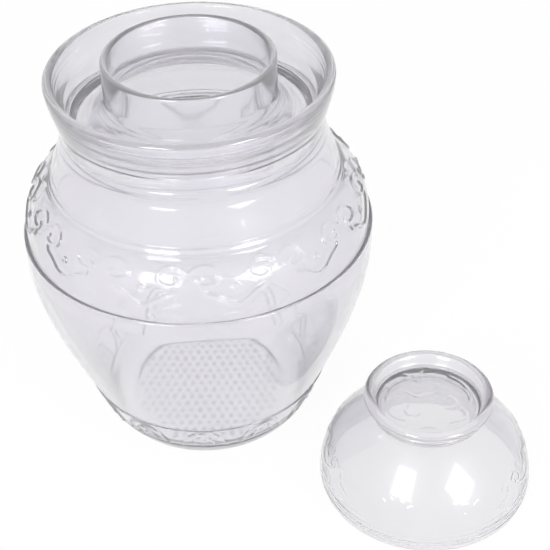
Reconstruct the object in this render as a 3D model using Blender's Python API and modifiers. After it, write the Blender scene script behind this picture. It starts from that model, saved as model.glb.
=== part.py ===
"""Glass fermentation jar with a water moat, and its bowl lid set down beside it.

Metres, +Z up. The origin is the centre of the jar's flat base, +Z is the jar's axis,
and +X points from the jar to the lid.
"""
import math

import bpy

MM = 0.001

# Jar body, outside
BASE_FLAT_RADIUS = 57.5 * MM
HEEL_RADIUS = 69.4 * MM
HEEL_HEIGHT = 13.2 * MM
WIDEST_RADIUS = 105.4 * MM
WIDEST_HEIGHT = 135.0 * MM
LEDGE_RISE = 8.0 * MM
LEDGE_HEIGHT = WIDEST_HEIGHT + LEDGE_RISE
LEDGE_STEP = 1.4 * MM
LEDGE_EDGE = 0.7 * MM
BAND_TOP_RADIUS = 87.4 * MM
BAND_RISE = 33.0 * MM
BAND_TOP_HEIGHT = LEDGE_HEIGHT + BAND_RISE
SHOULDER_RADIUS = 85.2 * MM
RING_STRIP_RISE = 5.4 * MM
SHOULDER_HEIGHT = BAND_TOP_HEIGHT + RING_STRIP_RISE
WAIST_RADIUS = 76.5 * MM
SHOULDER_RISE = 28.9 * MM
SEAT_HEIGHT = SHOULDER_HEIGHT + SHOULDER_RISE

# Raised rings round the jar body
RING_RISE = 0.7 * MM
RING_WIDTH = 1.8 * MM
LOW_RING_RISE = 20.8 * MM
LOW_RING_HEIGHT = HEEL_HEIGHT + LOW_RING_RISE
SHOULDER_RING_HEIGHT = (BAND_TOP_HEIGHT + SHOULDER_HEIGHT) / 2
SHOULDER_RING_PITCH = 3.2 * MM

# Neck
NECK_RADIUS = 49.6 * MM
NECK_WALL = 4.0 * MM
NECK_FOOT_RADIUS = 59.0 * MM
NECK_FLARE_HEIGHT = 20.0 * MM
NECK_STANDS_PROUD = 8.4 * MM
MOUTH_STRAIGHT_DEPTH = 23.0 * MM

# Glass of the jar body
BODY_WALL = 4.2 * MM
BASE_THICKNESS = 7.0 * MM
INNER_FLOOR_RADIUS = 48.0 * MM
INNER_HEEL_HEIGHT = 24.0 * MM
SEAT_WALL = 4.0 * MM
SEAT_UNDERSIDE_RADIUS = 66.0 * MM
SEAT_UNDERSIDE_DROP = 12.0 * MM

# Water moat
MOAT_RIM_RADIUS = 82.5 * MM
MOAT_RISE = 33.3 * MM
MOAT_TOP_HEIGHT = SEAT_HEIGHT + MOAT_RISE
MOAT_WALL = 5.2 * MM
MOAT_FLOOR_THICKNESS = 3.4 * MM
MOAT_FOOT_WALL = 5.4 * MM
MOAT_FILLET = 4.5 * MM
FUSE_GAP = 0.3 * MM
NECK_TOP_HEIGHT = MOAT_TOP_HEIGHT + NECK_STANDS_PROUD

# Bowl lid, outside, standing on its rim
LID_RIM_RADIUS = 63.2 * MM
LID_WALL = 3.6 * MM
LID_SHOULDER_RADIUS = 57.2 * MM
LID_SHOULDER_HEIGHT = 33.0 * MM
FOOT_WAIST_RADIUS = 34.0 * MM
LID_DOME_RISE = 24.0 * MM
FOOT_WAIST_HEIGHT = LID_SHOULDER_HEIGHT + LID_DOME_RISE
FOOT_RING_RADIUS = 38.6 * MM
FOOT_RING_WALL = 6.4 * MM
FOOT_RISE = 12.7 * MM
LID_TOP_HEIGHT = FOOT_WAIST_HEIGHT + FOOT_RISE
FOOT_RECESS_DEPTH = 8.1 * MM
FOOT_RECESS_FILLET = 2.4 * MM
LID_CEILING_THICKNESS = 4.0 * MM
LID_CEILING_RADIUS = 20.0 * MM
LID_RING_RISE = 0.5 * MM
LID_RING_WIDTH = 1.6 * MM
LID_RING_HEIGHT = 7.0 * MM
LID_RING_PITCH = 3.0 * MM
LID_DISTANCE = 158.9 * MM

# Turning
JAR_SEGMENTS = 40
LID_SEGMENTS = 32
LIP_STEPS = 6
FILLET_STEPS = 3
HEEL_STEPS = 3
WALL_STEPS = 8
INNER_STEPS = 6
BAND_STEPS = 5
SHOULDER_STEPS = 3
FLARE_STEPS = 5
MOAT_OUTER_STEPS = 6
MOAT_INNER_STEPS = 5
LID_WALL_STEPS = 6
LID_DOME_STEPS = 5
LID_CEILING_STEPS = 3
FOOT_STEPS = 4
AXIS_MERGE = 0.01 * MM

# Handles of the free curves, as shares of each curve's own width and height
HEEL_SHARES = ((0.41, 0.0), (0.73, 0.53))
LOWER_WALL_SHARES = ((0.37, 0.319), (1.035, 0.688))
BAND_SHARES = ((0.0, 0.455), (0.33, 0.88))
SHOULDER_SHARES = ((0.16, 0.23), (0.85, 0.56))
NECK_FLARE_SHARES = ((0.6, 0.15), (0.95, 0.5))
INNER_HEEL_SHARES = ((0.55, 0.0), (0.9, 0.5))
UNDER_SEAT_SHARES = ((0.1, 0.55), (0.45, 1.0))
MOUTH_FLARE_SHARES = ((0.54, 0.08), (0.97, 0.54))
MOAT_OUTER_SHARES = ((-0.03, 0.24), (0.75, 0.57))
MOAT_INNER_SHARES = ((0.39, 0.16), (0.84, 0.56))
LID_WALL_SHARES = ((-0.43, 0.33), (0.27, 0.795))
LID_DOME_SHARES = ((0.175, 0.25), (0.555, 0.71))
LID_CEILING_SHARES = ((0.3, 0.45), (0.7, 1.0))
FOOT_OUTER_SHARES = ((-0.16, 0.32), (0.7, 0.54))

# Finish
GLASS_ROUGHNESS = 0.02
GLASS_IOR = 1.5
BODY_COLOUR = (0.90, 0.91, 0.93, 1.0)
MOAT_COLOUR = (0.88, 0.90, 0.92, 1.0)
LID_COLOUR = (0.91, 0.92, 0.93, 1.0)


def curve(start, end, handle_shares, steps):
    """Points of one cubic curve from start to end, both included."""
    width = end[0] - start[0]
    height = end[1] - start[1]
    first, second = [(start[0] + a * width, start[1] + b * height) for a, b in handle_shares]
    points = []
    for i in range(steps + 1):
        t = i / steps
        weights = ((1 - t) ** 3, 3 * t * (1 - t) ** 2, 3 * t * t * (1 - t), t ** 3)
        places = (start, first, second, end)
        points.append(tuple(sum(w * p[k] for w, p in zip(weights, places)) for k in (0, 1)))
    return points


def arc(centre, radius, from_angle, to_angle, steps):
    """Points round a circle in the profile plane, angles in degrees from +X."""
    points = []
    for i in range(steps + 1):
        angle = math.radians(from_angle + (to_angle - from_angle) * i / steps)
        points.append((centre[0] + radius * math.cos(angle), centre[1] + radius * math.sin(angle)))
    return points


def inset(points, depth):
    """A rising outer line moved inwards by depth, square to itself."""
    moved = []
    for i, (r, z) in enumerate(points):
        before = points[max(i - 1, 0)]
        after = points[min(i + 1, len(points) - 1)]
        dr = after[0] - before[0]
        dz = after[1] - before[1]
        size = math.hypot(dr, dz)
        moved.append((r - depth * dz / size, z + depth * dr / size))
    return moved


def with_ring(points, height, rise, width):
    """A rising line with one raised ring on it at the given height."""
    def radius_at(z):
        for low, high in zip(points, points[1:]):
            if low[1] <= z <= high[1]:
                return low[0] + (high[0] - low[0]) * (z - low[1]) / (high[1] - low[1])
        return points[-1][0]

    low, high = height - width / 2, height + width / 2
    below = [p for p in points if p[1] < low]
    above = [p for p in points if p[1] > high]
    ring = [(radius_at(low), low), (radius_at(height) + rise, height), (radius_at(high), high)]
    return below + ring + above


def joined(*lines):
    """The lines one after another, without repeating a point where they meet."""
    points = []
    for line in lines:
        for point in line:
            if not points or math.dist(points[-1], point) > AXIS_MERGE:
                points.append(point)
    return points


def jar_outside():
    """The jar's outer line from its base up to the seat of the moat."""
    heel = curve((BASE_FLAT_RADIUS, 0), (HEEL_RADIUS, HEEL_HEIGHT), HEEL_SHARES, HEEL_STEPS)
    wall = lower_wall(WALL_STEPS)
    wall = with_ring(wall, LOW_RING_HEIGHT, RING_RISE, RING_WIDTH)
    ledge = [
        (WIDEST_RADIUS, LEDGE_HEIGHT - LEDGE_EDGE),
        (WIDEST_RADIUS - LEDGE_EDGE, LEDGE_HEIGHT),
    ]
    strip = [(BAND_TOP_RADIUS, BAND_TOP_HEIGHT), (SHOULDER_RADIUS, SHOULDER_HEIGHT)]
    for side in (-1, 1):
        height = SHOULDER_RING_HEIGHT + side * SHOULDER_RING_PITCH / 2
        strip = with_ring(strip, height, RING_RISE, RING_WIDTH)
    return joined(heel, wall, ledge, band(BAND_STEPS), strip, shoulder(SHOULDER_STEPS))


def lower_wall(steps):
    """The belly from the heel up to the widest place."""
    start = (HEEL_RADIUS, HEEL_HEIGHT)
    return curve(start, (WIDEST_RADIUS, WIDEST_HEIGHT), LOWER_WALL_SHARES, steps)


def band(steps):
    """The shoulder band that carries the scroll relief, above the ledge."""
    start = (WIDEST_RADIUS - LEDGE_STEP, LEDGE_HEIGHT)
    return curve(start, (BAND_TOP_RADIUS, BAND_TOP_HEIGHT), BAND_SHARES, steps)


def shoulder(steps):
    """The plain shoulder from the double ring up to the waist under the moat."""
    start = (SHOULDER_RADIUS, SHOULDER_HEIGHT)
    return curve(start, (WAIST_RADIUS, SEAT_HEIGHT), SHOULDER_SHARES, steps)


def jar_profile():
    """The jar body's half section, inner floor first and down the outside."""
    wall = [p for p in inset(lower_wall(INNER_STEPS), BODY_WALL) if p[1] > INNER_HEEL_HEIGHT]
    inner_band = inset(band(BAND_STEPS), BODY_WALL)
    top_end = SEAT_HEIGHT - SEAT_UNDERSIDE_DROP
    top = [p for p in inset(shoulder(SHOULDER_STEPS), BODY_WALL) if p[1] < top_end]
    floor_edge = (INNER_FLOOR_RADIUS, BASE_THICKNESS)
    inner_heel = curve(floor_edge, wall[0], INNER_HEEL_SHARES, HEEL_STEPS)
    underside = SEAT_HEIGHT - SEAT_WALL
    under_seat_end = (SEAT_UNDERSIDE_RADIUS, underside)
    under_seat = curve(top[-1], under_seat_end, UNDER_SEAT_SHARES, SHOULDER_STEPS)
    mouth_radius = NECK_RADIUS - NECK_WALL
    mouth_foot = (mouth_radius, NECK_TOP_HEIGHT - MOUTH_STRAIGHT_DEPTH)
    flare = curve(under_seat[-1], mouth_foot, MOUTH_FLARE_SHARES, FLARE_STEPS)
    lip_radius = NECK_WALL / 2
    lip_centre = (NECK_RADIUS - lip_radius, NECK_TOP_HEIGHT - lip_radius)
    lip = arc(lip_centre, lip_radius, 180, 0, LIP_STEPS)
    neck_foot_height = SEAT_HEIGHT + FUSE_GAP + MOAT_FLOOR_THICKNESS
    neck_foot = (NECK_FOOT_RADIUS, neck_foot_height)
    neck_low = (NECK_RADIUS, neck_foot_height + NECK_FLARE_HEIGHT)
    neck = curve(neck_foot, neck_low, NECK_FLARE_SHARES, FLARE_STEPS)[::-1]
    riser = [(NECK_FOOT_RADIUS, SEAT_HEIGHT)]
    inside = joined([(0, BASE_THICKNESS)], inner_heel, wall, inner_band, top)
    outside = joined(neck, riser, jar_outside()[::-1], [(0, 0)])
    return joined(inside, under_seat, flare, lip, outside)


def moat_profile():
    """The moat ring's section, down the inner wall, along the floor and back up outside."""
    foot_height = SEAT_HEIGHT + FUSE_GAP
    floor_height = foot_height + MOAT_FLOOR_THICKNESS
    lip_radius = MOAT_WALL / 2
    lip_centre = (MOAT_RIM_RADIUS - lip_radius, MOAT_TOP_HEIGHT - lip_radius)
    lip = arc(lip_centre, lip_radius, 180, 0, LIP_STEPS)
    foot = (WAIST_RADIUS, foot_height)
    outer = curve(foot, lip[-1], MOAT_OUTER_SHARES, MOAT_OUTER_STEPS)[::-1]
    hole_radius = NECK_FOOT_RADIUS + FUSE_GAP
    hole = [(hole_radius, foot_height), (hole_radius, floor_height)]
    fillet_centre = (WAIST_RADIUS - MOAT_FOOT_WALL - MOAT_FILLET, floor_height + MOAT_FILLET)
    fillet = arc(fillet_centre, MOAT_FILLET, -90, 0, FILLET_STEPS)
    inner = curve(fillet[-1], lip[0], MOAT_INNER_SHARES, MOAT_INNER_STEPS)
    return joined(lip, outer, hole, fillet, inner)[:-1]


def lid_profile():
    """The lid's half section as it stands on its rim, ceiling last."""
    rim_radius = LID_WALL / 2
    rim = arc((LID_RIM_RADIUS - rim_radius, rim_radius), rim_radius, 0, -180, LIP_STEPS)
    shoulder_point = (LID_SHOULDER_RADIUS, LID_SHOULDER_HEIGHT)
    wall = curve(rim[0], shoulder_point, LID_WALL_SHARES, LID_WALL_STEPS)
    waist = (FOOT_WAIST_RADIUS, FOOT_WAIST_HEIGHT)
    dome = curve(shoulder_point, waist, LID_DOME_SHARES, LID_DOME_STEPS)
    lip_radius = FOOT_RING_WALL / 2
    lip_centre = (FOOT_RING_RADIUS - lip_radius, LID_TOP_HEIGHT - lip_radius)
    lip = arc(lip_centre, lip_radius, 0, 180, LIP_STEPS)
    foot = curve(waist, lip[0], FOOT_OUTER_SHARES, FOOT_STEPS)
    recess_height = LID_TOP_HEIGHT - FOOT_RECESS_DEPTH
    fillet_centre = (lip[-1][0] - FOOT_RECESS_FILLET, recess_height + FOOT_RECESS_FILLET)
    recess = arc(fillet_centre, FOOT_RECESS_FILLET, 0, -90, FILLET_STEPS)
    ringed = wall
    for side in (-1, 1):
        height = LID_RING_HEIGHT + side * LID_RING_PITCH / 2
        ringed = with_ring(ringed, height, LID_RING_RISE, LID_RING_WIDTH)
    outside = joined([(0, recess_height)], recess[::-1], lip[::-1], foot[::-1], dome[::-1], ringed[::-1])
    ceiling_height = recess_height - LID_CEILING_THICKNESS
    inside = joined(inset(wall, LID_WALL), inset(dome, LID_WALL)[1:-1])
    ceiling_edge = (LID_CEILING_RADIUS, ceiling_height)
    ceiling = curve(inside[-1], ceiling_edge, LID_CEILING_SHARES, LID_CEILING_STEPS)
    return joined(outside, rim, inside[1:], ceiling, [(0, ceiling_height)])


def glass(name, colour):
    """A clear glass material of the given colour."""
    material = bpy.data.materials.new(name)
    material.use_nodes = True
    shader = material.node_tree.nodes["Principled BSDF"]
    shader.inputs["Base Color"].default_value = colour
    shader.inputs["Metallic"].default_value = 0
    shader.inputs["Roughness"].default_value = GLASS_ROUGHNESS
    shader.inputs["IOR"].default_value = GLASS_IOR
    shader.inputs["Transmission Weight"].default_value = 1
    material.diffuse_color = colour
    return material


def turned(name, profile, segments, material, collection, closed=False):
    """One body turned about its own Z axis from a profile of (radius, height) points."""
    mesh = bpy.data.meshes.new(name)
    edges = [(i, i + 1) for i in range(len(profile) - 1)]
    if closed:
        edges.append((len(profile) - 1, 0))
    mesh.from_pydata([(r, 0, z) for r, z in profile], edges, [])
    thing = bpy.data.objects.new(name, mesh)
    collection.objects.link(thing)
    screw = thing.modifiers.new("turn", "SCREW")
    screw.axis = "Z"
    screw.angle = math.tau
    screw.steps = segments
    screw.render_steps = segments
    screw.use_merge_vertices = True
    screw.merge_threshold = AXIS_MERGE
    screw.use_smooth_shade = True
    mesh.materials.append(material)
    return thing


def main():
    """Clear the scene and build the jar and its lid."""
    for old in list(bpy.data.objects):
        bpy.data.objects.remove(old, do_unlink=True)
    collection = bpy.data.collections.new("fermentation_jar")
    bpy.context.scene.collection.children.link(collection)

    body_glass = glass("jar_glass", BODY_COLOUR)
    jar = turned("jar_body", jar_profile(), JAR_SEGMENTS, body_glass, collection)
    moat_glass = glass("moat_glass", MOAT_COLOUR)
    moat = turned("water_moat", moat_profile(), JAR_SEGMENTS, moat_glass, collection, closed=True)
    moat.parent = jar
    lid_glass = glass("lid_glass", LID_COLOUR)
    lid = turned("bowl_lid", lid_profile(), LID_SEGMENTS, lid_glass, collection)
    lid.location = (LID_DISTANCE, 0, 0)


main()
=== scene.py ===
"""Looks of a clear pressed glass fermentation jar with a water moat, and of its bowl lid.

The jar stands at the origin and the lid stands on its rim beside it, on a plain pale floor.
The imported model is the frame: every size here is the model's own, in metres, +Z up.
"""

import logging
import math
from dataclasses import dataclass, field
from enum import Enum
from typing import Callable

import bpy
from mathutils import Matrix, Vector


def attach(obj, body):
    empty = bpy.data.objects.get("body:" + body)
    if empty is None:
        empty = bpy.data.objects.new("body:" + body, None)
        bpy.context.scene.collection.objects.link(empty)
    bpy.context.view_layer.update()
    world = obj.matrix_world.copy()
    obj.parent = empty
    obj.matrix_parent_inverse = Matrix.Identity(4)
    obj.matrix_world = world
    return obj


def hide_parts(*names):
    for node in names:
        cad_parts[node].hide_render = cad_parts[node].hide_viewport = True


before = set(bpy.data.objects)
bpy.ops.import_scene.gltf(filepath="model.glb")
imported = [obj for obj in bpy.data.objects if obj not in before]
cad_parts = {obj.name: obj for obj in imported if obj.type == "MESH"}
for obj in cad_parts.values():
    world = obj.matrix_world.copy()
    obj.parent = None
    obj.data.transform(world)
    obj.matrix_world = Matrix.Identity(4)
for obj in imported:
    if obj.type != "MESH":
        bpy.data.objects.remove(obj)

LOG = logging.getLogger("fermentation_jar")
MM = 0.001
SECTORS = 12
RELIEF = "relief"
LEAST_SHARE = 0.002  # of the relief's rise; less than this isn't marked
WELD_REACH = 0.004 * MM  # points nearer than this are one
SEAM_REACH = 0.7 * MM  # open ends this far from a seam's height belong to it
REFINE_REACH = 1.1  # millimetres beyond a pattern's lines that are stepped finely
RIDGE_POWER = 1.5  # rounds a ridge's feet as well as its top
FINE_STEPS = 240  # stretches of a line that heights are read from
SMOOTH_ANGLE = 42.0  # degrees; sharper edges stay crisp

Point = tuple[float, float]
Line = list[Point]


class Body(Enum):
    """The two bodies that pieces ride on."""

    JAR = "jar"
    LID = "lid"


class Slot(Enum):
    """Names of the record's material slots, which the pieces here don't use."""

    JAR_GLASS = "jar_glass"
    LID_GLASS = "lid_glass"


# ---------------------------------------------------------------- lines of a turned section


def curve(start: Point, end: Point, shares: tuple[Point, Point], steps: int) -> Line:
    """Points of one cubic curve.

    Args:
        start: first point, as radius and height.
        end: last point.
        shares: its two handles, as shares of the curve's own width and height.
        steps: number of straight stretches.

    Returns:
        The points from start to end, both included.
    """
    width, height = end[0] - start[0], end[1] - start[1]
    handles = [(start[0] + a * width, start[1] + b * height) for a, b in shares]
    places = (start, handles[0], handles[1], end)
    points = []
    for i in range(steps + 1):
        t = i / steps
        weights = ((1 - t) ** 3, 3 * t * (1 - t) ** 2, 3 * t * t * (1 - t), t**3)
        points.append(tuple(sum(w * p[k] for w, p in zip(weights, places)) for k in (0, 1)))
    return points


def arc(centre: Point, radius: float, start: float, end: float, steps: int) -> Line:
    """Points round a circle.

    Args:
        centre: its centre, as radius and height.
        radius: its radius.
        start: first angle in degrees from +X.
        end: last angle in degrees.
        steps: number of straight stretches.

    Returns:
        The points from the first angle to the last.
    """
    turns = [math.radians(start + (end - start) * i / steps) for i in range(steps + 1)]
    return [(centre[0] + radius * math.cos(t), centre[1] + radius * math.sin(t)) for t in turns]


def inset(points: Line, depth: float) -> Line:
    """A rising outer line moved inwards, square to itself.

    Args:
        points: the outer line.
        depth: thickness of the glass.

    Returns:
        The inner line, rising too.
    """
    moved = []
    for i, (r, z) in enumerate(points):
        before, after = points[max(i - 1, 0)], points[min(i + 1, len(points) - 1)]
        dr, dz = after[0] - before[0], after[1] - before[1]
        size = math.hypot(dr, dz)
        moved.append((r - depth * dz / size, z + depth * dr / size))
    return moved


def ridged(points: Line, height: float, rise: float, width: float, steps: int = 8) -> Line:
    """A rising line with one rounded ridge on it.

    Args:
        points: the plain line.
        height: height of the ridge's middle.
        rise: how far the ridge stands proud.
        width: its width along the height.
        steps: number of stretches over the ridge.

    Returns:
        The line with the ridge in it.
    """
    low, high = height - width / 2, height + width / 2
    ridge = []
    for i in range(steps + 1):
        z = low + (high - low) * i / steps
        bulge = rise * math.sin(math.pi * i / steps) ** RIDGE_POWER
        ridge.append((radius_at(points, z) + bulge, z))
    return [p for p in points if p[1] < low] + ridge + [p for p in points if p[1] > high]


def radius_at(points: Line, height: float) -> float:
    """The radius of a rising line at a height.

    Args:
        points: the line.
        height: the height.

    Returns:
        The radius there, or the end's radius beyond an end.
    """
    for low, high in zip(points, points[1:]):
        if low[1] <= height <= high[1]:
            return low[0] + (high[0] - low[0]) * (height - low[1]) / (high[1] - low[1])
    return points[-1][0] if height > points[-1][1] else points[0][0]


def joined(*lines: Line) -> Line:
    """The lines one after another, without repeating a point where they meet.

    Args:
        *lines: the lines in their order.

    Returns:
        One line.
    """
    points = []
    for line in lines:
        for point in line:
            if not points or math.dist(points[-1], point) > 0.01 * MM:
                points.append(point)
    return points


def evenly(points: Line, steps: int) -> Line:
    """The same line with its points an equal way apart.

    Args:
        points: the line.
        steps: number of stretches wanted.

    Returns:
        The line in equal stretches.
    """
    ways = [0.0]
    for low, high in zip(points, points[1:]):
        ways.append(ways[-1] + math.dist(low, high))
    spaced, k = [], 0
    for i in range(steps + 1):
        way = ways[-1] * i / steps
        while k < len(points) - 2 and ways[k + 1] < way:
            k += 1
        share = (way - ways[k]) / (ways[k + 1] - ways[k])
        spaced.append(tuple(a + (b - a) * share for a, b in zip(points[k], points[k + 1])))
    return spaced


def distance_to(path: Line, x: float, y: float) -> float:
    """The distance from a point to a drawn path.

    Args:
        path: the path's points.
        x: the point's place along the pattern.
        y: the point's height in the pattern.

    Returns:
        The shortest distance.
    """
    nearest = math.inf
    for (ax, ay), (bx, by) in zip(path, path[1:]):
        dx, dy = bx - ax, by - ay
        share = ((x - ax) * dx + (y - ay) * dy) / (dx * dx + dy * dy)
        share = min(max(share, 0.0), 1.0)
        nearest = min(nearest, math.hypot(x - ax - share * dx, y - ay - share * dy))
    return nearest


def smooth_path(points: Line, rounds: int = 2) -> Line:
    """A path with its corners cut, so that it runs as one soft curve.

    Args:
        points: the drawn path.
        rounds: how often its corners are cut.

    Returns:
        The soft path, with the same ends.
    """
    for _ in range(rounds):
        cut = [points[0]]
        for (ax, ay), (bx, by) in zip(points, points[1:]):
            cut.append((0.75 * ax + 0.25 * bx, 0.75 * ay + 0.25 * by))
            cut.append((0.25 * ax + 0.75 * bx, 0.25 * ay + 0.75 * by))
        points = cut + [points[-1]]
    return points


def pressed_ridge(distance: float, half_width: float, flat: float) -> float:
    """How high a pressed line stands at a distance from its middle.

    Args:
        distance: the distance.
        half_width: where its slope ends.
        flat: where its slope begins.

    Returns:
        A share from 0 to 1.
    """
    share = min(max((half_width - distance) / (half_width - flat), 0.0), 1.0)
    return share * share * (3 - 2 * share)


# ---------------------------------------------------------------- modelling by operators


def clear_selection() -> None:
    """Leaves edit mode and deselects everything, the model's own nodes included."""
    if bpy.context.object and bpy.context.object.mode != "OBJECT":
        bpy.ops.object.mode_set(mode="OBJECT")
    bpy.ops.object.select_all(action="DESELECT")


def choose(thing: bpy.types.Object) -> None:
    """Selects one object alone and makes it the active one.

    Args:
        thing: the object.
    """
    clear_selection()
    thing.select_set(True)
    bpy.context.view_layer.objects.active = thing


def turned_sector(
    name: str, section: Line, segments: int, centre: float, start: float = 0.0
) -> bpy.types.Object:
    """One sector of a strip of glass surface, turned about an upright axis.

    Args:
        name: name of the new object.
        section: its half section, as radius and height.
        segments: steps of the full turn, a multiple of the sectors.
        centre: the axis's place along X.
        start: where the sector starts round the axis, in degrees.

    Returns:
        The sector, which full_turn copies round.
    """
    clear_selection()
    first = (centre + section[0][0], 0, section[0][1])
    bpy.ops.mesh.primitive_plane_add(size=1 * MM, location=first)
    bpy.ops.object.transform_apply(location=True, rotation=True, scale=True)
    thing = bpy.context.object
    thing.name = thing.data.name = name
    bpy.ops.object.mode_set(mode="EDIT")
    bpy.ops.mesh.select_mode(type="VERT")
    bpy.ops.mesh.select_all(action="SELECT")
    bpy.ops.mesh.merge(type="CENTER")
    for here, there in zip(section, section[1:]):
        step = (there[0] - here[0], 0, there[1] - here[1])
        bpy.ops.mesh.extrude_region_move(TRANSFORM_OT_translate={"value": step})
    bpy.ops.mesh.select_all(action="SELECT")
    bpy.ops.mesh.spin(
        steps=segments // SECTORS,
        angle=math.tau / SECTORS,
        center=(centre, 0, 0),
        axis=(0, 0, 1),
    )
    bpy.ops.object.mode_set(mode="OBJECT")
    axis = Matrix.Translation((centre, 0, 0))
    thing.data.transform(axis @ Matrix.Rotation(math.radians(start), 4, "Z") @ axis.inverted())
    return thing


def full_turn(sector: bpy.types.Object, centre: float) -> None:
    """Copies one sector of a strip all the way round its axis.

    Args:
        sector: the sector, which becomes the whole strip.
        centre: the axis's place along X.
    """
    turn = math.tau / SECTORS
    place = (centre - centre * math.cos(turn), -centre * math.sin(turn), 0)
    clear_selection()
    bpy.ops.object.empty_add(location=place, rotation=(0, 0, turn))
    step = bpy.context.object
    array = sector.modifiers.new("copies round the axis", "ARRAY")
    array.use_relative_offset = False
    array.use_object_offset = True
    array.offset_object = step
    array.count = SECTORS
    choose(sector)
    bpy.ops.object.modifier_apply(modifier=array.name)
    bpy.data.objects.remove(step)
    bpy.ops.object.mode_set(mode="EDIT")
    bpy.ops.mesh.select_all(action="SELECT")
    bpy.ops.mesh.remove_doubles(threshold=WELD_REACH)
    bpy.ops.object.mode_set(mode="OBJECT")


def join_strips(strips: list[bpy.types.Object], seams: list[float]) -> bpy.types.Object:
    """Joins strips that end close to each other into one closed glass surface.

    Args:
        strips: the strips, the first one giving the piece its name.
        seams: height of each pair of open ends.

    Returns:
        The closed piece, with its faces pointing out of the glass.
    """
    clear_selection()
    for strip in strips:
        strip.select_set(True)
    bpy.context.view_layer.objects.active = strips[0]
    if len(strips) > 1:
        bpy.ops.object.join()
    piece = bpy.context.object
    for seam in seams:
        bpy.ops.object.mode_set(mode="EDIT")
        bpy.ops.mesh.select_mode(type="VERT")
        bpy.ops.mesh.select_all(action="DESELECT")
        bpy.ops.mesh.select_non_manifold(extend=False, use_wire=False, use_multi_face=False)
        bpy.ops.object.mode_set(mode="OBJECT")
        for vertex in piece.data.vertices:
            if vertex.select and abs(vertex.co.z - seam) > SEAM_REACH:
                vertex.select = False
        for edge in piece.data.edges:
            edge.select = edge.select and all(piece.data.vertices[i].select for i in edge.vertices)
        bpy.ops.object.mode_set(mode="EDIT")
        bpy.ops.mesh.select_mode(type="EDGE")
        bpy.ops.mesh.bridge_edge_loops()
    bpy.ops.object.mode_set(mode="EDIT")
    bpy.ops.mesh.select_mode(type="VERT")
    bpy.ops.mesh.select_all(action="SELECT")
    bpy.ops.mesh.normals_make_consistent(inside=False)
    bpy.ops.object.mode_set(mode="OBJECT")
    return piece


def refine(sector: bpy.types.Object, frieze: "Frieze") -> None:
    """Splits the faces near a pattern, so that its edges are crisp.

    Args:
        sector: the sector of a strip.
        frieze: the pattern, with how often the faces are split in four.
    """
    choose(sector)
    for number in range(frieze.rounds):
        reach = REFINE_REACH / (number + 1)
        bpy.ops.object.mode_set(mode="EDIT")
        bpy.ops.mesh.select_mode(type="FACE")
        bpy.ops.mesh.select_all(action="DESELECT")
        bpy.ops.object.mode_set(mode="OBJECT")
        for face in sector.data.polygons:
            face.select = frieze.near(face.center, reach)
        bpy.ops.object.mode_set(mode="EDIT")
        bpy.ops.mesh.subdivide(number_cuts=1)
        bpy.ops.object.mode_set(mode="OBJECT")
    for vertex in sector.data.vertices:
        vertex.co = frieze.settled(vertex.co)


def mark_relief(sector: bpy.types.Object, frieze: "Frieze") -> None:
    """Marks a pattern on one sector, so that its copies carry it round.

    Args:
        sector: the sector of a strip.
        frieze: the pattern.
    """
    group = sector.vertex_groups.new(name=RELIEF)
    for vertex in sector.data.vertices:
        share = frieze.share_at(vertex.co)
        if share > LEAST_SHARE:
            group.add([vertex.index], share, "REPLACE")


def press_relief(piece: bpy.types.Object, rise: float) -> None:
    """Raises the marked pattern from the glass, as the mould's wall leaves it.

    Args:
        piece: the glass piece.
        rise: how far the pattern's highest place stands proud.
    """
    choose(piece)
    displace = piece.modifiers.new("pressed relief", "DISPLACE")
    displace.direction = "NORMAL"
    displace.vertex_group = RELIEF
    displace.strength = rise
    displace.mid_level = 0
    bpy.ops.object.modifier_apply(modifier=displace.name)
    piece.vertex_groups.clear()


def smooth_shaded(piece: bpy.types.Object, degrees: float) -> None:
    """Shades a piece smooth, apart from its sharp edges.

    Args:
        piece: the piece.
        degrees: the angle from which an edge is sharp.
    """
    choose(piece)
    bpy.ops.object.shade_smooth_by_angle(angle=math.radians(degrees))


# ---------------------------------------------------------------- finishes


def linear(hex_colour: str) -> tuple[float, float, float, float]:
    """An sRGB hex colour as linear values with full opacity.

    Args:
        hex_colour: the colour as "#RRGGBB".

    Returns:
        Linear red, green and blue, and 1.
    """
    parts = [int(hex_colour[i : i + 2], 16) / 255 for i in (1, 3, 5)]
    turned = [c / 12.92 if c <= 0.04045 else ((c + 0.055) / 1.055) ** 2.4 for c in parts]
    return (*turned, 1.0)


def add_node(
    tree: bpy.types.NodeTree,
    kind: str,
    settings: dict | None = None,
    links: dict | None = None,
) -> bpy.types.Node:
    """Adds a node with its settings and its incoming links.

    Args:
        tree: the node tree.
        kind: the node's type name.
        settings: attribute names, or socket names and numbers, with their values.
        links: the node's input names or numbers with the sockets that feed them.

    Returns:
        The new node.
    """
    node = tree.nodes.new(kind)
    for key, value in (settings or {}).items():
        if isinstance(key, str) and hasattr(node, key):
            setattr(node, key, value)
        else:
            node.inputs[key].default_value = value
    for key, source in (links or {}).items():
        tree.links.new(source, node.inputs[key])
    return node


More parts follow.
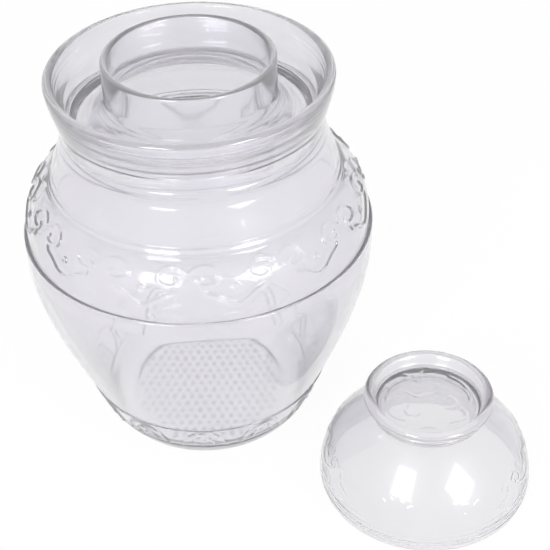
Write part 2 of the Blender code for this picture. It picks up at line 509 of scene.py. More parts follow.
@dataclass(frozen=True)
class PressedGlass:
    """Clear soda-lime glass, pressed and blown in a mould.

    The mould leaves the surface glossy but slightly wavy, so straight lines seen through it
    wander. The index, close to soda-lime glass's own, bends them and darkens the edges. The
    thin soft coat gives each light a faint halo, and the absorption greys thick glass.
    """

    name: str
    tint: str = "#FBFAFD"
    deep_tint: str = "#F4F3F8"
    clearness: float = 0.91
    ior: float = 1.5
    roughness: float = 0.055
    wave_length: float = 16 * MM
    wave_height: float = 0.06 * MM
    cloud_length: float = 60 * MM
    absorb_colour: str = "#C8C7CE"
    absorb_density: float = 3.5
    coat: float = 0.5
    coat_roughness: float = 0.3

    def material(self) -> bpy.types.Material:
        """Builds the glass material.

        Returns:
            The material, with its own node tree.
        """
        material = bpy.data.materials.new(self.name)
        material.use_nodes = True
        tree = material.node_tree
        tree.nodes.clear()
        place = add_node(tree, "ShaderNodeTexCoord")
        clouds = add_node(
            tree,
            "ShaderNodeTexNoise",
            {"Scale": 1 / self.cloud_length, "Detail": 1.0},
            {"Vector": place.outputs["Object"]},
        )
        tint = add_node(
            tree,
            "ShaderNodeMix",
            {"data_type": "RGBA", 6: linear(self.tint), 7: linear(self.deep_tint)},
            {0: clouds.outputs[0]},
        )
        waves = add_node(
            tree,
            "ShaderNodeTexNoise",
            {"Scale": 1 / self.wave_length, "Detail": 1.5, "Roughness": 0.4},
            {"Vector": place.outputs["Object"]},
        )
        bump = add_node(
            tree,
            "ShaderNodeBump",
            {"Strength": 1.0, "Distance": self.wave_height},
            {"Height": waves.outputs[0]},
        )
        shader = add_node(
            tree,
            "ShaderNodeBsdfPrincipled",
            {
                "Roughness": self.roughness,
                "IOR": self.ior,
                "Transmission Weight": self.clearness,
                "Coat Weight": self.coat,
                "Coat Roughness": self.coat_roughness,
            },
            {"Base Color": tint.outputs[2], "Normal": bump.outputs[0]},
        )
        absorb = add_node(
            tree,
            "ShaderNodeVolumeAbsorption",
            {"Color": linear(self.absorb_colour), "Density": self.absorb_density},
        )
        add_node(
            tree,
            "ShaderNodeOutputMaterial",
            {},
            {"Surface": shader.outputs[0], "Volume": absorb.outputs[0]},
        )
        return material


def give_finish(piece: bpy.types.Object, finish: PressedGlass) -> None:
    """Gives a piece one finish all over.

    Args:
        piece: the piece.
        finish: its finish.
    """
    piece.data.materials.clear()
    piece.data.materials.append(finish.material())


# ---------------------------------------------------------------- the pressed patterns


@dataclass(frozen=True)
class Drawing:
    """Pressed lines and beads, drawn in millimetres on the unrolled glass."""

    lines: tuple[tuple[Point, ...], ...]
    beads: tuple[Point, ...] = ()
    half_width: float = 1.6
    flat: float = 0.5
    bead_radius: float = 2.6
    bead_dimple: float = 0.9
    bead_slope: float = 1.0
    dimple_depth: float = 0.8
    dimple_slope: float = 0.5
    dimple_flat: float = 0.2
    strength: float = 1.0

    def soft_lines(self) -> list[Line]:
        """The lines with their corners cut."""
        return [smooth_path(list(line)) for line in self.lines]

    def height_at(self, lines: list[Line], x: float, y: float) -> float:
        """The share of the relief's rise at a place.

        Args:
            lines: the drawing's soft lines.
            x: place along the pattern, in millimetres.
            y: height in the pattern, in millimetres.

        Returns:
            A share from 0 to 1.
        """
        nearest = min(distance_to(line, x, y) for line in lines)
        best = pressed_ridge(nearest, self.half_width, self.flat)
        for bead_x, bead_y in self.beads:
            away = math.hypot(x - bead_x, y - bead_y)
            bead = pressed_ridge(away, self.bead_radius, self.bead_radius - self.bead_slope)
            dimple = pressed_ridge(away, self.bead_dimple + self.dimple_slope, self.dimple_flat)
            bead -= self.dimple_depth * dimple
            best = max(best, bead)
        return self.strength * best

    def near(self, lines: list[Line], x: float, y: float, reach: float) -> bool:
        """Whether a place lies on the drawing or near it, all in millimetres.

        Args:
            lines: the drawing's soft lines.
            x: place along the pattern.
            y: height in the pattern.
            reach: how near.

        Returns:
            True on or near a line or a bead.
        """
        if min(distance_to(line, x, y) for line in lines) < self.half_width + reach:
            return True
        away = [math.hypot(x - bead_x, y - bead_y) for bead_x, bead_y in self.beads]
        return any(distance < self.bead_radius + reach for distance in away)


CLOUD_SCROLL = Drawing(
    lines=(
        (
            (26.2, 8.6), (24.4, 9.7), (22.2, 11.3), (19.6, 12.5), (16.9, 12.8), (14.2, 12.6),
            (11.9, 11.6), (9.9, 9.9), (8.8, 7.8), (8.8, 5.6), (10.0, 3.9), (12.2, 2.8),
            (14.6, 2.3), (17.0, 2.3), (19.2, 3.0), (20.4, 4.4), (20.0, 5.9), (18.7, 6.2),
        ),
        (
            (17.6, 2.0), (17.4, -0.6), (16.2, -2.4), (13.6, -3.4), (10.6, -4.4), (8.0, -6.2),
            (5.4, -8.2), (2.6, -9.4), (0.0, -9.8),
        ),
    ),
    beads=((0.0, 0.0),),
)
PETAL = Drawing(
    lines=(
        (
            (0.0, 12.6), (3.0, 12.2), (6.2, 10.6), (9.2, 7.4), (11.6, 3.2), (13.4, -1.0),
            (14.6, -4.6),
        ),
        ((0.0, 7.4), (2.4, 6.6), (4.6, 4.2), (6.2, 1.0), (7.0, -2.6)),
    ),
    beads=((0.0, 1.6),),
    half_width=1.3,
    bead_radius=1.6,
    bead_dimple=0.0,
)
SMALL_SCROLL = Drawing(
    lines=(
        (
            (15.7, 3.2), (13.6, 4.6), (11.2, 5.6), (8.6, 5.2), (6.6, 3.6), (6.2, 1.4),
            (7.6, -0.4), (10.0, -0.8), (11.8, 0.2), (11.6, 1.8),
        ),
        ((10.2, -1.0), (8.6, -3.2), (5.4, -4.6), (2.6, -5.8), (0.0, -6.2)),
    ),
    beads=((0.0, 0.0), (3.6, 6.4), (-3.6, 6.4), (10.2, 7.6)),
    half_width=0.95,
    flat=0.2,
    strength=0.45,
    bead_radius=1.3,
    bead_dimple=0.0,
)
FOOT_CLOUD = Drawing(
    lines=(
        (
            (22.9, 0.0), (19.6, 2.4), (17.4, 5.6), (17.8, 10.2), (16.8, 14.2), (13.6, 16.2),
            (10.4, 15.0),
        ),
        (
            (10.4, 15.0), (8.8, 18.6), (4.6, 21.8), (-0.6, 23.0), (-6.4, 22.4), (-11.4, 20.0),
            (-14.8, 17.2),
        ),
        (
            (-14.8, 17.2), (-19.8, 17.2), (-23.4, 14.0), (-24.2, 9.4), (-22.6, 5.2),
            (-19.4, 2.2), (-15.4, 0.0),
        ),
        ((-9.8, 9.1), (-7.6, 7.2), (-5.4, 5.9), (-4.4, 3.2), (-5.4, 0.6)),
        ((7.3, 8.0), (8.6, 10.4), (6.6, 13.4), (2.6, 13.8), (-0.4, 11.6)),
    ),
    half_width=1.1,
    flat=0.25,
    strength=1.5,
)


@dataclass
class Frieze:
    """A drawing repeated round an axis, each repeat with its own mirror image."""

    drawing: Drawing
    line: Line
    middle: float
    bead_turn: float
    centre: float = 0.0
    rounds: int = 2
    repeats: int = SECTORS
    margin: float = 0.3 * MM
    skin: float = 1 * MM
    mean: float = 0.0
    lines: list[Line] = field(default_factory=list)

    def __post_init__(self) -> None:
        """Works out the mean radius, and the lines with their mirror images."""
        self.mean = sum(r for r, _ in self.line) / len(self.line) / MM
        period = math.tau / self.repeats * self.mean
        soft = self.drawing.soft_lines()
        self.lines = soft + [[(period - x, y) for x, y in line] for line in soft]
        self.lines += [[(-x, y) for x, y in line] for line in soft]

    def way_at(self, height: float) -> float:
        """The way up the glass from the frieze's foot to a height.

        Args:
            height: the height.

        Returns:
            The length of the line below it.
        """
        way = 0.0
        for low, high in zip(self.line, self.line[1:]):
            if height >= high[1]:
                way += math.dist(low, high)
            elif height > low[1]:
                way += math.dist(low, high) * (height - low[1]) / (high[1] - low[1])
        return way

    def holds(self, place: Vector) -> bool:
        """Whether a place lies on the frieze.

        Args:
            place: a vertex's place.

        Returns:
            True between its foot and its top, on the outer surface.
        """
        if not self.line[0][1] + self.margin < place.z < self.line[-1][1] - self.margin:
            return False
        radius = math.hypot(place.x - self.centre, place.y)
        return radius > radius_at(self.line, place.z) - self.skin

    def drawn_place(self, place: Vector) -> Point:
        """Where a place lies in the drawing.

        Args:
            place: a vertex's place.

        Returns:
            Its place along the pattern and its height in it, in millimetres.
        """
        half = math.pi / self.repeats
        turn = math.atan2(place.y, place.x - self.centre) - math.radians(self.bead_turn)
        turn = abs((turn + half) % (2 * half) - half)
        return turn * self.mean, self.way_at(place.z) / MM - self.middle

    def share_at(self, place: Vector) -> float:
        """The relief's share at a place.

        Args:
            place: a vertex's place.

        Returns:
            A share from 0 up, 0 off the frieze.
        """
        if not self.holds(place):
            return 0.0
        return self.drawing.height_at(self.lines, *self.drawn_place(place))

    def near(self, place: Vector, reach: float) -> bool:
        """Whether a place lies on the pattern or within reach of it, in millimetres."""
        return self.holds(place) and self.drawing.near(self.lines, *self.drawn_place(place), reach)

    def settled(self, place: Vector) -> Vector:
        """The place put back on the turned surface, after its face was split.

        Args:
            place: a vertex's place.

        Returns:
            The same place at the surface's own radius.
        """
        if not self.holds(place):
            return place
        turn = math.atan2(place.y, place.x - self.centre)
        radius = radius_at(self.line, place.z)
        return Vector((self.centre + radius * math.cos(turn), radius * math.sin(turn), place.z))


# ---------------------------------------------------------------- the jar


@dataclass
class JarGlass:
    """The jar, its neck and its water moat: one run of clear glass, as the fused pieces look."""

    base_flat_radius: float = 57.5 * MM
    base_ring_width: float = 5.0 * MM
    base_hollow: float = 1.2 * MM
    heel: Point = (69.4 * MM, 13.2 * MM)
    widest: Point = (105.35 * MM, 135.0 * MM)
    ledge_height: float = 143.0 * MM
    ledge_step: float = 2.0 * MM
    ledge_edge: float = 1.2 * MM
    band_top: Point = (87.4 * MM, 176.0 * MM)
    shoulder: Point = (85.2 * MM, 181.4 * MM)
    seat: Point = (76.5 * MM, 210.3 * MM)
    ring_rise: float = 0.75 * MM
    ring_width: float = 1.8 * MM
    low_ring_height: float = 34.0 * MM
    shoulder_rings: tuple[float, float] = (177.1 * MM, 180.3 * MM)
    neck_radius: float = 49.6 * MM
    neck_wall: float = 4.0 * MM
    neck_top: float = 252.0 * MM
    neck_foot: Point = (59.0 * MM, 216.5 * MM)
    neck_flare: float = 18.0 * MM
    mouth_depth: float = 23.0 * MM
    body_wall: float = 4.2 * MM
    base_thickness: float = 6.5 * MM
    inner_heel_height: float = 23.0 * MM
    under_seat_corner: float = 11.5 * MM
    moat_rim_radius: float = 82.5 * MM
    moat_top: float = 243.6 * MM
    moat_wall: float = 5.2 * MM
    moat_foot_wall: float = 4.4 * MM
    moat_fillet: float = 11.5 * MM
    moat_ridges: tuple[float, ...] = (237.6 * MM, 234.4 * MM, 231.2 * MM)
    moat_ridge_rise: float = 0.13 * MM
    moat_ridge_width: float = 2.4 * MM
    moat_foot_rise: float = 0.6 * MM
    groove: Point = (0.35 * MM, 0.3 * MM)
    neck_ripples: tuple[float, ...] = (219.4 * MM, 222.6 * MM, 226.2 * MM)
    inner_ripples: tuple[float, ...] = (213.6 * MM, 216.8 * MM, 220.4 * MM, 224.6 * MM)
    ripple_rise: float = 0.14 * MM
    ripple_width: float = 1.9 * MM
    relief_rise: float = 0.85 * MM
    seam: float = 0.2 * MM
    band_step: float = 0.02 * MM
    strip_step: Point = (0.07 * MM, 0.17 * MM)
    double_ring_share: float = 0.8
    segments: int = 216
    relief_segments: int = 300
    petal_segments: int = 240

    def heel_line(self) -> Line:
        """The rounded foot, from the flat base up to the belly."""
        return curve((self.base_flat_radius, 0), self.heel, ((0.41, 0), (0.73, 0.53)), 8)

    def belly(self, steps: int) -> Line:
        """The belly, from the foot up to the widest place."""
        line = curve(self.heel, self.widest, ((0.37, 0.319), (1.035, 0.688)), 120)
        return evenly(line, steps)

    def band(self, steps: int) -> Line:
        """The band above the ledge that carries the scroll."""
        start = (self.widest[0] - self.ledge_step, self.ledge_height)
        return evenly(curve(start, self.band_top, ((0.0, 0.455), (0.33, 0.88)), 120), steps)

    def plain_shoulder(self, steps: int) -> Line:
        """The shoulder above the double ring, up to the seat of the moat."""
        return curve(self.shoulder, self.seat, ((0.16, 0.23), (0.85, 0.56)), steps)

    def outside_foot(self) -> Line:
        """The underside, hollow inside its standing ring, and the rounded foot.

        Returns:
            The line from the middle of the base to the belly.
        """
        ring = self.base_flat_radius - self.base_ring_width
        hollow = [(0, self.base_hollow), (ring - 6 * MM, self.base_hollow)]
        step = curve(hollow[-1], (ring, 0), ((0.5, 0.0), (0.5, 1.0)), 8)
        return joined(hollow, step, self.heel_line())

    def outside_petals(self) -> Line:
        """The strip between the rounded foot and the low ring, finely stepped."""
        line = [p for p in self.belly(FINE_STEPS) if p[1] < self.low_ring_height - self.ring_width]
        return evenly([(line[0][0], line[0][1] + self.seam), *line[1:]], 10)

    def outside_belly(self) -> Line:
        """The outside from the low ring up to the ledge.

        Returns:
            The line, with the low ring and the ledge in it.
        """
        start = self.low_ring_height - self.ring_width + self.seam
        belly = [p for p in self.belly(26) if p[1] > start + MM]
        belly = [(radius_at(self.belly(FINE_STEPS), start), start), *belly]
        belly = ridged(belly, self.low_ring_height, self.ring_rise, self.ring_width)
        edge = self.ledge_edge
        ledge = arc((self.widest[0] - edge, self.ledge_height - edge), edge, 0, 90, 4)
        top = [(self.widest[0] - self.ledge_step, self.ledge_height)]
        return joined(belly, ledge, top)

    def outside_band(self) -> Line:
        """The outside of the scroll band, finely stepped."""
        low, *rest = self.band(20)
        return [(low[0] - self.band_step, low[1] + self.seam), *rest]

    def outside_high(self) -> Line:
        """The double ring, the shoulder, the moat, the neck and the whole inside.

        Returns:
            The line from the top of the band round to the middle of the floor.
        """
        low = (self.band_top[0] - self.strip_step[0], self.band_top[1] + self.strip_step[1])
        strip = [low, self.shoulder]
        for height in self.shoulder_rings:
            strip = ridged(strip, height, self.ring_rise, self.ring_width * self.double_ring_share)
        shoulder = self.plain_shoulder(12)
        moat_lip = self.moat_wall / 2
        lip_centre = (self.moat_rim_radius - moat_lip, self.moat_top - moat_lip)
        lip = arc(lip_centre, moat_lip, 0, 180, 12)
        groove = [(self.seat[0] - self.groove[0], self.seat[1] + self.groove[1])]
        foot = (self.seat[0], self.seat[1] + self.moat_foot_rise)
        wall = curve(foot, lip[0], ((-0.03, 0.24), (0.75, 0.57)), 16)
        for height in self.moat_ridges:
            wall = ridged(wall, height, self.moat_ridge_rise, self.moat_ridge_width, 4)
        fillet_centre = (
            self.seat[0] - self.moat_foot_wall - self.moat_fillet,
            self.neck_foot[1] + self.moat_fillet,
        )
        fillet = arc(fillet_centre, self.moat_fillet, 0, -90, 6)
        inner = curve(fillet[0], lip[-1], ((0.39, 0.16), (0.84, 0.56)), 12)[::-1]
        neck_low = (self.neck_radius, self.neck_foot[1] + self.neck_flare)
        neck = curve(self.neck_foot, neck_low, ((0.6, 0.15), (0.95, 0.5)), 12)
        for height in self.neck_ripples:
            neck = ridged(neck, height, self.ripple_rise, self.ripple_width, 4)
        neck_lip = self.neck_wall / 2
        neck_centre = (self.neck_radius - neck_lip, self.neck_top - neck_lip)
        mouth = arc(neck_centre, neck_lip, 0, 180, 10)
        return joined(strip, shoulder, groove, wall, lip, inner, fillet, neck, mouth, self.inside())

    def inside(self) -> Line:
        """The inner surface, in one run.

        Returns:
            The line from the mouth down to the middle of the floor.
        """
        mouth_foot = (self.neck_radius - self.neck_wall, self.neck_top - self.mouth_depth)
        top_end = self.seat[1] - self.under_seat_corner
        shoulder = [p for p in inset(self.plain_shoulder(10), self.body_wall) if p[1] < top_end]
        band = inset(self.band(8), self.body_wall)
        belly = [p for p in inset(self.belly(14), self.body_wall) if p[1] > self.inner_heel_height]
        flare = curve(shoulder[-1], mouth_foot, ((0.12, 0.3), (0.97, 0.55)), 14)
        for height in self.inner_ripples:
            flare = ridged(flare, height, self.ripple_rise, self.ripple_width, 4)
        middle = (0, self.base_thickness)
        floor = curve(middle, belly[0], ((0.86, 0.0), (0.985, 0.22)), 16)
        rising = joined(floor, belly, band, shoulder, flare)
        return rising[::-1]

    def strip(
        self, name: str, line: Line, segments: int, frieze: Frieze | None
    ) -> bpy.types.Object:
        """Builds one strip of the jar's surface.

        Args:
            name: the strip's name.
            line: its half section.
            segments: steps of its full turn.
            frieze: the pattern pressed on it, if any.

        Returns:
            The strip, all the way round.
        """
        strip = turned_sector(name, line, segments, 0, frieze.bead_turn if frieze else 0.0)
        if frieze:
            refine(strip, frieze)
            mark_relief(strip, frieze)
        full_turn(strip, 0)
        return strip

    def build(self) -> bpy.types.Object:
        """Builds the jar's glass.

        Returns:
            The finished piece.
        """
        petals = self.outside_petals()
        scroll = Frieze(CLOUD_SCROLL, self.band(160), 20.4, -44.1)
        petal = Frieze(PETAL, petals, 6.4, -59.1, rounds=1)
        strips = [
            self.strip("jar_foot", self.outside_foot(), self.segments, None),
            self.strip("jar_petals", petals, self.petal_segments, petal),
            self.strip("jar_belly", self.outside_belly(), self.segments, None),
            self.strip("jar_band", self.outside_band(), self.relief_segments, scroll),
            self.strip("jar_high", self.outside_high(), self.segments, None),
        ]
        seams = [self.heel[1], petals[-1][1], self.ledge_height, self.band_top[1]]
        piece = join_strips(strips, [height + 0.1 * MM for height in seams])
        piece.name = piece.data.name = "jar_and_moat"
        press_relief(piece, self.relief_rise)
        smooth_shaded(piece, SMOOTH_ANGLE)
        return piece

    def dress(self, piece: bpy.types.Object, finish: PressedGlass) -> None:
        """Gives the jar its glass and ties it to the model.

        Args:
            piece: the jar's glass.
            finish: its finish.
        """
        give_finish(piece, finish)
        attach(piece, Body.JAR.value)
        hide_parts("jar_body", "water_moat")


@dataclass
class BasePips:
    """The low round pips under the jar's base, taken from the faint lattice seen there."""

    pitch: float = 5.8 * MM
    radius: float = 1.6 * MM
    thickness: float = 0.45 * MM
    height: float = 0.6 * MM
    reach: float = 47.0 * MM
    turn: float = 31.8

    def build(self) -> bpy.types.Object:
        """Builds the pips: one dome, copied in two staggered lattices.

        Returns:
            One piece with all the pips.
        """
        clear_selection()
        side = 2 * math.ceil(self.reach / self.pitch / 2)
        corner = -self.pitch * side
        bpy.ops.mesh.primitive_uv_sphere_add(segments=12, ring_count=6, radius=self.radius)
        piece = bpy.context.object
        piece.name = piece.data.name = "base_pips"
        bpy.ops.object.mode_set(mode="EDIT")
        bpy.ops.mesh.select_all(action="SELECT")
        bpy.ops.transform.resize(value=(1, 1, self.thickness / (2 * self.radius)))
        bpy.ops.transform.translate(value=(corner, corner, self.height))
        bpy.ops.object.mode_set(mode="OBJECT")
        for step, count in (((self.pitch, 0, 0), 2 * side + 1), ((0, 2 * self.pitch, 0), side + 1)):
            array = piece.modifiers.new("row of pips", "ARRAY")
            array.use_relative_offset = False
            array.use_constant_offset = True
            array.constant_offset_displace = step
            array.count = count
            bpy.ops.object.modifier_apply(modifier=array.name)
        bpy.ops.object.mode_set(mode="EDIT")
        bpy.ops.mesh.select_all(action="SELECT")
        step = (self.pitch / 2, self.pitch, 0)
        bpy.ops.mesh.duplicate_move(TRANSFORM_OT_translate={"value": step})
        bpy.ops.object.mode_set(mode="OBJECT")
        self.trim(piece)
        piece.data.transform(Matrix.Rotation(math.radians(self.turn), 4, "Z"))
        bpy.ops.object.shade_smooth()
        return piece

    def beyond(self, place: Vector) -> bool:
        """Whether the pip at a place stands beyond the patterned part of the base.

        Args:
            place: a place on the pip.

        Returns:
            True for a pip that goes.
        """
        row = round(place.y / self.pitch)
        shift = self.pitch / 2 * (row % 2)
        column = round((place.x - shift) / self.pitch)
        return math.hypot(column * self.pitch + shift, row * self.pitch) > self.reach

    def trim(self, piece: bpy.types.Object) -> None:
        """Takes away the pips beyond the patterned part of the base.

        Args:
            piece: all the pips.
        """
        bpy.ops.object.mode_set(mode="EDIT")
        bpy.ops.mesh.select_mode(type="VERT")
        bpy.ops.mesh.select_all(action="DESELECT")
        bpy.ops.object.mode_set(mode="OBJECT")
        for vertex in piece.data.vertices:
            vertex.select = self.beyond(vertex.co)
        bpy.ops.object.mode_set(mode="EDIT")
        bpy.ops.mesh.delete(type="VERT")
        bpy.ops.object.mode_set(mode="OBJECT")

    def dress(self, piece: bpy.types.Object, finish: PressedGlass) -> None:
        """Gives the pips their glass and ties them to the jar.

        Args:
            piece: the pips.
            finish: their finish.
        """
        give_finish(piece, finish)
        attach(piece, Body.JAR.value)


# ---------------------------------------------------------------- the lid


@dataclass
class LidGlass:
    """The bowl lid as it stands on its rim, foot ring up."""

    centre: float = 158.9 * MM
    rim_radius: float = 63.2 * MM
    wall: float = 3.6 * MM
    shoulder: Point = (57.2 * MM, 33.0 * MM)
    waist: Point = (34.0 * MM, 57.0 * MM)
    foot_ring_radius: float = 38.6 * MM
    foot_ring_wall: float = 6.4 * MM
    top: float = 69.7 * MM
    recess_height: float = 61.6 * MM
    recess_fillet: float = 4.6 * MM
    cloud_scale: float = 1.14
    ceiling: Point = (20.0 * MM, 57.6 * MM)
    ring_rise: float = 0.32 * MM
    ring_width: float = 1.8 * MM
    rings: tuple[float, ...] = (5.5 * MM, 8.5 * MM)
    fine_rings: tuple[float, ...] = (11.6 * MM, 15.2 * MM)
    fine_ring_rise: float = 0.15 * MM
    frieze_low: float = 19.0 * MM
    frieze_high: float = 34.0 * MM
    relief_rise: float = 0.42 * MM
    cloud_turn: float = -45.0
    cloud_reach: float = 29 * MM
    floor_slack: float = 0.05 * MM
    floor_steps: int = 46
    segments: int = 240

    def wall_line(self, steps: int) -> Line:
        """The outside of the bowl, from the rim up to the foot ring's neck.

        Args:
            steps: number of equal stretches.

        Returns:
            The rising line.
        """
        start = (self.rim_radius, self.wall / 2)
        wall = curve(start, self.shoulder, ((-0.43, 0.33), (0.27, 0.795)), 60)
        dome = curve(self.shoulder, self.waist, ((0.175, 0.25), (0.555, 0.71)), 60)
        return evenly(joined(wall, dome), steps)

    def section(self) -> Line:
        """The whole half section of the lid.

        Returns:
            The line from the middle of the recess round the rim to the ceiling.
        """
        rim_radius = self.wall / 2
        rim = arc((self.rim_radius - rim_radius, rim_radius), rim_radius, 0, -180, 10)
        lip_radius = self.foot_ring_wall / 2
        lip_centre = (self.foot_ring_radius - lip_radius, self.top - lip_radius)
        lip = arc(lip_centre, lip_radius, 0, 180, 12)
        foot = curve(self.waist, lip[0], ((-0.16, 0.32), (0.7, 0.54)), 8)
        fillet_centre = (lip[-1][0] - self.recess_fillet, self.recess_height + self.recess_fillet)
        recess = arc(fillet_centre, self.recess_fillet, 0, -90, 6)
        edge, steps = recess[-1][0], self.floor_steps
        floor = [(edge * i / steps, self.recess_height) for i in range(steps)]
        ringed = self.wall_line(50)
        for height in self.rings:
            ringed = ridged(ringed, height, self.ring_rise, self.ring_width, 6)
        for height in self.fine_rings:
            ringed = ridged(ringed, height, self.fine_ring_rise, self.ring_width, 6)
        outside = joined(floor, recess[::-1], lip[::-1], foot[::-1], ringed[::-1])
        inside = inset(self.wall_line(30), self.wall)[:-1]
        ceiling = curve(inside[-1], self.ceiling, ((0.3, 0.45), (0.7, 1.0)), 8)
        return joined(outside, rim, inside[1:], ceiling, [(0, self.ceiling[1])])

    def cloud_marker(self) -> Callable[[Vector], float]:
        """Makes the function that draws the ruyi cloud on the recess floor.

        Returns:
            A function that gives the cloud's share at a place.
        """
        lines = FOOT_CLOUD.soft_lines()
        along = math.radians(self.cloud_turn)

        def share_at(place: Vector) -> float:
            """The cloud's share at a vertex.

            Args:
                place: the vertex's place.

            Returns:
                A share from 0 up, 0 off the recess floor.
            """
            x, y = place.x - self.centre, place.y
            if abs(place.z - self.recess_height) > self.floor_slack:
                return 0.0
            if math.hypot(x, y) > self.cloud_reach:
                return 0.0
            ahead = (x * math.cos(along) + y * math.sin(along)) / MM
            aside = abs(y * math.cos(along) - x * math.sin(along)) / MM
            return FOOT_CLOUD.height_at(lines, ahead / self.cloud_scale, aside / self.cloud_scale)

        return share_at

    def build(self) -> bpy.types.Object:
        """Builds the lid's glass.

        Returns:
            The finished piece.
        """
        side = [p for p in self.wall_line(FINE_STEPS) if self.frieze_low < p[1] < self.frieze_high]
        frieze = Frieze(SMALL_SCROLL, side, 8.0, -21.0, self.centre)
        section, start = self.section(), frieze.bead_turn
        piece = turned_sector("bowl_lid_glass", section, self.segments, self.centre, start)
        refine(piece, frieze)
        mark_relief(piece, frieze)
        full_turn(piece, self.centre)
        piece = join_strips([piece], [])
        cloud = self.cloud_marker()
        group = piece.vertex_groups[RELIEF]
        for vertex in piece.data.vertices:
            share = cloud(vertex.co)
            if share > LEAST_SHARE:
                group.add([vertex.index], share, "REPLACE")
        press_relief(piece, self.relief_rise)
        smooth_shaded(piece, SMOOTH_ANGLE)
        return piece

    def dress(self, piece: bpy.types.Object, finish: PressedGlass) -> None:
        """Gives the lid its glass and ties it to the model.

        Args:
            piece: the lid's glass.
            finish: its finish.
        """
        give_finish(piece, finish)
        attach(piece, Body.LID.value)
        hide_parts("bowl_lid")


# ---------------------------------------------------------------- the studio


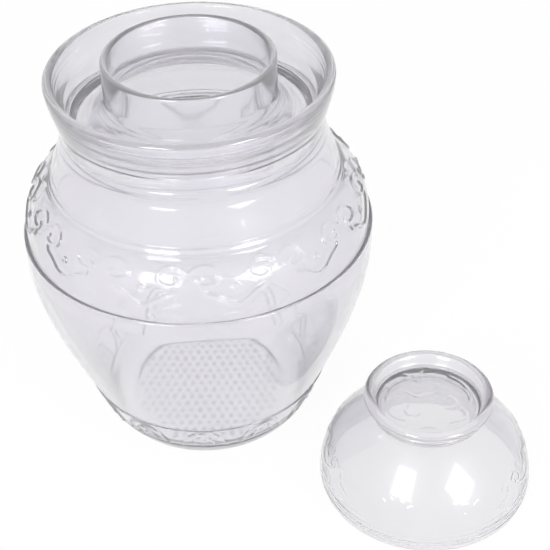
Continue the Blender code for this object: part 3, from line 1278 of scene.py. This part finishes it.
@dataclass
class Studio:
    """A plain pale floor, soft light from two square boxes, and the camera."""

    floor_size: float = 8.0
    floor_colour: str = "#F4F4F4"
    shadow_share: float = 0.05
    world_light: float = 0.8
    paper_tone: float = 0.9
    zenith: float = 0.9
    box_size: float = 0.57
    box_strength: float = 14.0
    box_core: float = 0.28
    glass_shadow_share: float = 0.2
    white_up_to: float = 0.42
    greyest_at: float = 0.85
    light_target: tuple[float, float, float] = (0.12, -0.03, 0.08)
    left_box_place: tuple[float, float, float] = (0.16, -1.18, 0.78)
    right_box_place: tuple[float, float, float] = (1.26, -0.44, 0.64)
    right_box_turn: float = 30
    right_box_share: float = 1.05
    camera_place: tuple[float, float, float] = (0.3888, -0.5402, 0.6177)
    camera_turn: float = 31.83
    camera_elevation: float = 38.263
    camera_roll: float = -1.343
    lens: float = 87.9

    def seen_share(
        self, tree: bpy.types.NodeTree, straight: float, glass: float
    ) -> bpy.types.NodeSocket:
        """Share of the plain background that a ray shows.

        Args:
            tree: the node tree.
            straight: the share for rays from the camera and from reflections.
            glass: the share for rays through the glass.

        Returns:
            A socket with the share, 0 for the rays that light the object.
        """
        rays = add_node(tree, "ShaderNodeLightPath")
        direct = add_node(
            tree,
            "ShaderNodeMath",
            {"operation": "MAXIMUM"},
            {0: rays.outputs["Is Camera Ray"], 1: rays.outputs["Is Glossy Ray"]},
        )
        shares = [
            add_node(tree, "ShaderNodeMath", {"operation": "MULTIPLY", 1: share}, {0: source})
            for share, source in (
                (straight, direct.outputs[0]),
                (glass, rays.outputs["Is Transmission Ray"]),
            )
        ]
        both = add_node(
            tree,
            "ShaderNodeMath",
            {"operation": "MAXIMUM"},
            {0: shares[0].outputs[0], 1: shares[1].outputs[0]},
        )
        return both.outputs[0]

    def seen_tone(self, tree: bpy.types.NodeTree) -> bpy.types.NodeSocket:
        """Tone of the background.

        Args:
            tree: the node tree.

        Returns:
            A socket with 1, or with the paper's paler tone for rays through the glass.
        """
        rays = add_node(tree, "ShaderNodeLightPath")
        tone = add_node(
            tree,
            "ShaderNodeMath",
            {"operation": "MULTIPLY_ADD", 1: self.paper_tone - 1, 2: 1.0},
            {0: rays.outputs["Is Transmission Ray"]},
        )
        return tone.outputs[0]

    def floor(self) -> bpy.types.Object:
        """Builds the floor.

        Returns:
            The floor, white to the eye but for the object's soft shadow.
        """
        clear_selection()
        bpy.ops.mesh.primitive_plane_add(size=self.floor_size, location=(0, 0, 0))
        floor = bpy.context.object
        floor.name = "floor"
        # A matt paper sweep: plain white to the eye, with only a faint shadow on it.
        material = bpy.data.materials.new("white paper sweep")
        material.use_nodes = True
        tree = material.node_tree
        tree.nodes.clear()
        paper = add_node(tree, "ShaderNodeBsdfDiffuse", {"Color": linear(self.floor_colour)})
        tone = self.seen_tone(tree)
        glow = add_node(tree, "ShaderNodeEmission", {"Color": (1, 1, 1, 1)}, {1: tone})
        share = self.seen_share(tree, 1 - self.shadow_share, 1 - self.glass_shadow_share)
        mixed = add_node(
            tree,
            "ShaderNodeMixShader",
            {},
            {0: share, 1: paper.outputs[0], 2: glow.outputs[0]},
        )
        add_node(tree, "ShaderNodeOutputMaterial", {}, {"Surface": mixed.outputs[0]})
        floor.data.materials.append(material)
        return floor

    def world(self) -> None:
        """Lights the object softly from all round, and shows white with a greyer ceiling."""
        world = bpy.data.worlds.new("studio")
        bpy.context.scene.world = world
        world.use_nodes = True
        tree = world.node_tree
        tree.nodes.clear()
        light = add_node(
            tree, "ShaderNodeBackground", {"Color": (1, 1, 1, 1), "Strength": self.world_light}
        )
        place = add_node(tree, "ShaderNodeTexCoord")
        split = add_node(tree, "ShaderNodeSeparateXYZ", {}, {0: place.outputs["Generated"]})
        ramp = add_node(tree, "ShaderNodeValToRGB", {}, {0: split.outputs[2]})
        ramp.color_ramp.elements[0].position = self.white_up_to
        ramp.color_ramp.elements[0].color = (1, 1, 1, 1)
        ramp.color_ramp.elements[1].position = self.greyest_at
        ramp.color_ramp.elements[1].color = (self.zenith, self.zenith, self.zenith, 1)
        seen = add_node(
            tree, "ShaderNodeBackground", {}, {0: ramp.outputs[0], 1: self.seen_tone(tree)}
        )
        mixed = add_node(
            tree,
            "ShaderNodeMixShader",
            {},
            {0: self.seen_share(tree, 1, 1), 1: light.outputs[0], 2: seen.outputs[0]},
        )
        add_node(tree, "ShaderNodeOutputWorld", {}, {"Surface": mixed.outputs[0]})

    def softbox(
        self, name: str, place: Vector, target: Vector, turn: float, size: float
    ) -> None:
        """Hangs one square softbox.

        Args:
            name: its name.
            place: where it hangs.
            target: the point it faces.
            turn: its turn about its own axis, in degrees.
            size: length of its sides.
        """
        lamp = bpy.data.lights.new(name, "AREA")
        lamp.shape = "SQUARE"
        lamp.size = size
        lamp.energy = self.box_strength
        self.soft_edge(lamp)
        thing = bpy.data.objects.new(name, lamp)
        bpy.context.scene.collection.objects.link(thing)
        facing = (place - target).to_track_quat("Z", "Y").to_matrix().to_4x4()
        roll = Matrix.Rotation(math.radians(turn), 4, "Z")
        thing.matrix_world = Matrix.Translation(place) @ facing @ roll

    def soft_edge(self, lamp: bpy.types.Light) -> None:
        """Lets a softbox's glow fall off from its core to its edges, as its cloth does.

        Args:
            lamp: the softbox's lamp.
        """
        lamp.use_nodes = True
        tree = lamp.node_tree
        tree.nodes.clear()
        place = add_node(tree, "ShaderNodeNewGeometry")
        offset = add_node(
            tree,
            "ShaderNodeVectorMath",
            {"operation": "SUBTRACT", 1: (0.5, 0.5, 0)},
            {0: place.outputs["Parametric"]},
        )
        away = add_node(
            tree, "ShaderNodeVectorMath", {"operation": "ABSOLUTE"}, {0: offset.outputs[0]}
        )
        split = add_node(tree, "ShaderNodeSeparateXYZ", {}, {0: away.outputs[0]})
        farther = add_node(
            tree,
            "ShaderNodeMath",
            {"operation": "MAXIMUM"},
            {0: split.outputs[0], 1: split.outputs[1]},
        )
        fall = add_node(
            tree,
            "ShaderNodeMapRange",
            {"interpolation_type": "SMOOTHSTEP", 1: self.box_core, 2: 0.5, 3: 1.0, 4: 0.0},
            {0: farther.outputs[0]},
        )
        glow = add_node(tree, "ShaderNodeEmission", {"Color": (1, 1, 1, 1)}, {1: fall.outputs[0]})
        add_node(tree, "ShaderNodeOutputLight", {}, {"Surface": glow.outputs[0]})

    def camera(self) -> None:
        """Sets the camera where the photograph was taken from."""
        lens = bpy.data.cameras.new("camera")
        lens.sensor_width = 36.0
        lens.lens = self.lens
        lens.clip_start, lens.clip_end = 0.01, 50.0
        camera = bpy.data.objects.new("camera", lens)
        bpy.context.scene.collection.objects.link(camera)
        turn = Matrix.Rotation(math.radians(self.camera_turn), 4, "Z")
        tilt = Matrix.Rotation(math.radians(90 - self.camera_elevation), 4, "X")
        roll = Matrix.Rotation(math.radians(self.camera_roll), 4, "Z")
        camera.matrix_world = Matrix.Translation(self.camera_place) @ turn @ tilt @ roll
        bpy.context.scene.camera = camera

    def build(self) -> None:
        """Sets up the floor, the light and the camera."""
        self.floor()
        self.world()
        target, size = Vector(self.light_target), self.box_size
        self.softbox("softbox_left", Vector(self.left_box_place), target, 0, size)
        size *= self.right_box_share
        place = Vector(self.right_box_place)
        self.softbox("softbox_right", place, target, self.right_box_turn, size)
        self.camera()
        scene = bpy.context.scene
        scene.view_settings.view_transform = "Standard"


def main() -> None:
    """Builds and dresses the jar and the lid in the studio."""
    logging.basicConfig(level=logging.INFO, format="%(message)s")
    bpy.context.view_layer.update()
    # The jar and the lid look clear and bright. The lid is the same glass as the jar; its darker
    # tint is painted shade, standing in for the shade seen through the lid.
    # The scuffed pips scatter the light, so they show as soft grey dots through the belly.
    builds = (
        (JarGlass(), PressedGlass("pressed clear glass, jar")),
        (BasePips(), PressedGlass("scuffed clear glass, pips", clearness=0.6, roughness=0.25)),
        (LidGlass(), PressedGlass("pressed clear glass, lid", tint="#F6F5F8", deep_tint="#EFEEF2")),
    )
    for part, finish in builds:
        piece = part.build()
        part.dress(piece, finish)
        triangles = sum(len(p.vertices) - 2 for p in piece.data.polygons)
        LOG.info("%s: %d triangles", piece.name, triangles)
    Studio().build()


if __name__ == "__main__":
    main()
